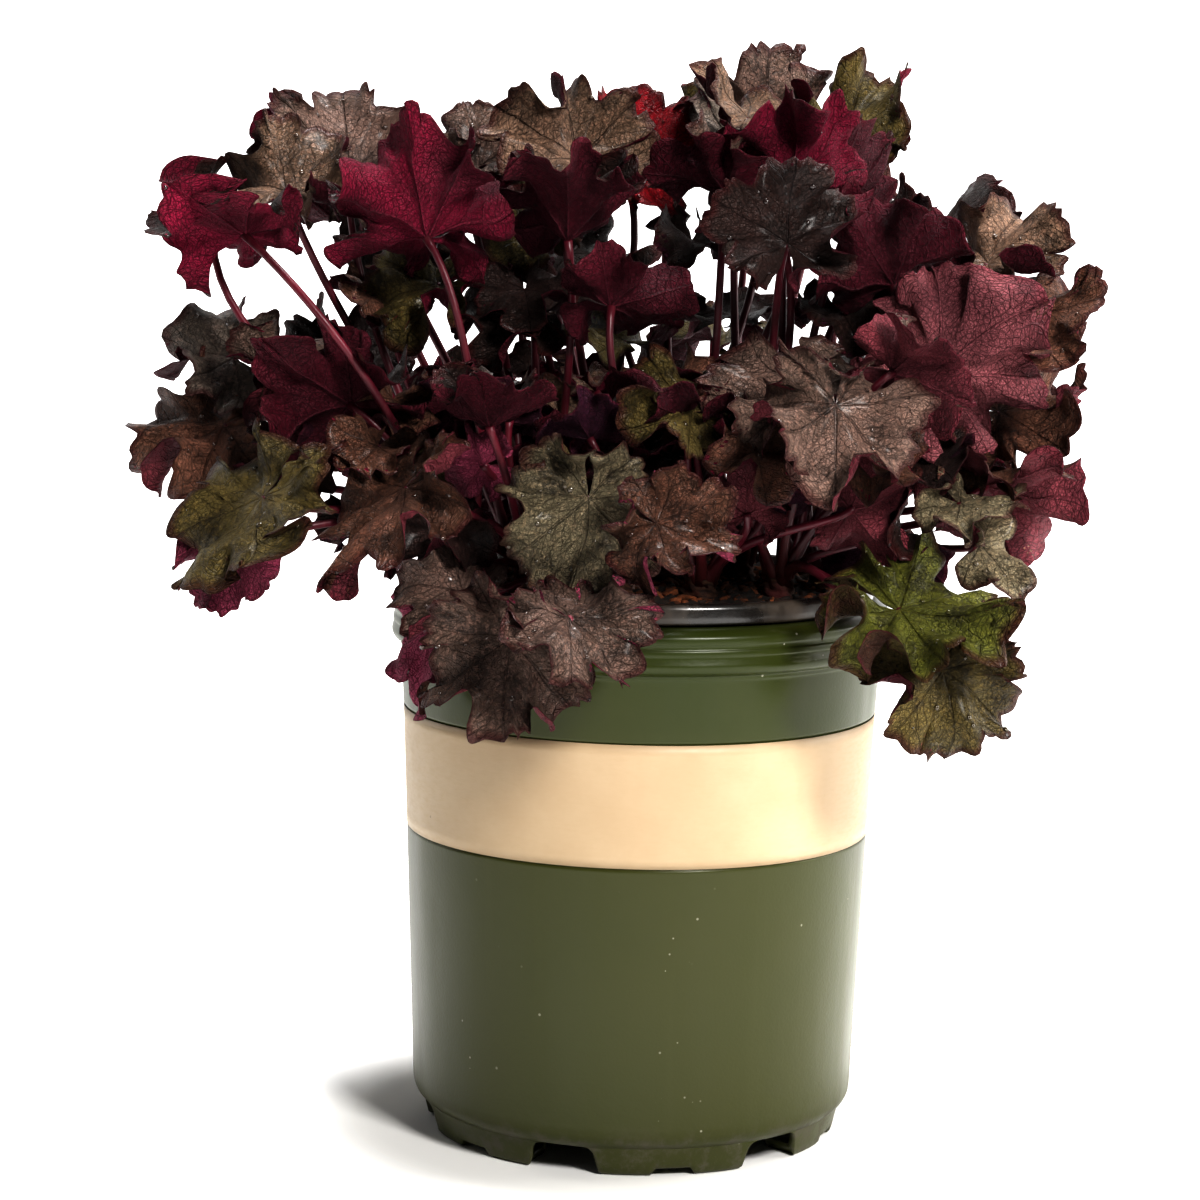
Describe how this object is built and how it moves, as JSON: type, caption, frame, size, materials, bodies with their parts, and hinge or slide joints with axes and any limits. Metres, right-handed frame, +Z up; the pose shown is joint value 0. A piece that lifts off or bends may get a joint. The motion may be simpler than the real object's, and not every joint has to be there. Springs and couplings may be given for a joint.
{
  "type": "potted heuchera plant",
  "caption": "Mounded foliage plant with ruffled, lobed bronze and crimson leaves on long stalks, standing in potting mix in a round moulded nursery pot with a plain paper band.",
  "frame": {"origin": "on the floor, under the middle of the plant's box", "axes": "+Z up along the pot's axis, -Y towards the side with the draping leaves over the band, +X to the right from there"},
  "size_m": [0.317, 0.2802, 0.3611],
  "materials": {
    "pot": "semi-gloss moulded green plastic, dusty",
    "grow_pot": "thin black plastic, rolled rim",
    "label_band": "plain cream paper, satin",
    "soil": "damp bark and peat mix",
    "foliage": "leaves bronze to olive above with a wet sheen, crimson to mauve beneath, on dark red stalks"
  },
  "bodies": {
    "root": {"pot": "pot", "grow_pot": "grow_pot", "label_band": "label_band", "soil": "soil", "shoot_01": "foliage", "shoot_02": "foliage", "shoot_03": "foliage", "shoot_04": "foliage", "shoot_05": "foliage", "shoot_06": "foliage", "shoot_07": "foliage", "shoot_08": "foliage", "shoot_09": "foliage", "shoot_10": "foliage", "shoot_11": "foliage", "shoot_12": "foliage", "shoot_13": "foliage", "shoot_14": "foliage"}
  },
  "joints": []
}
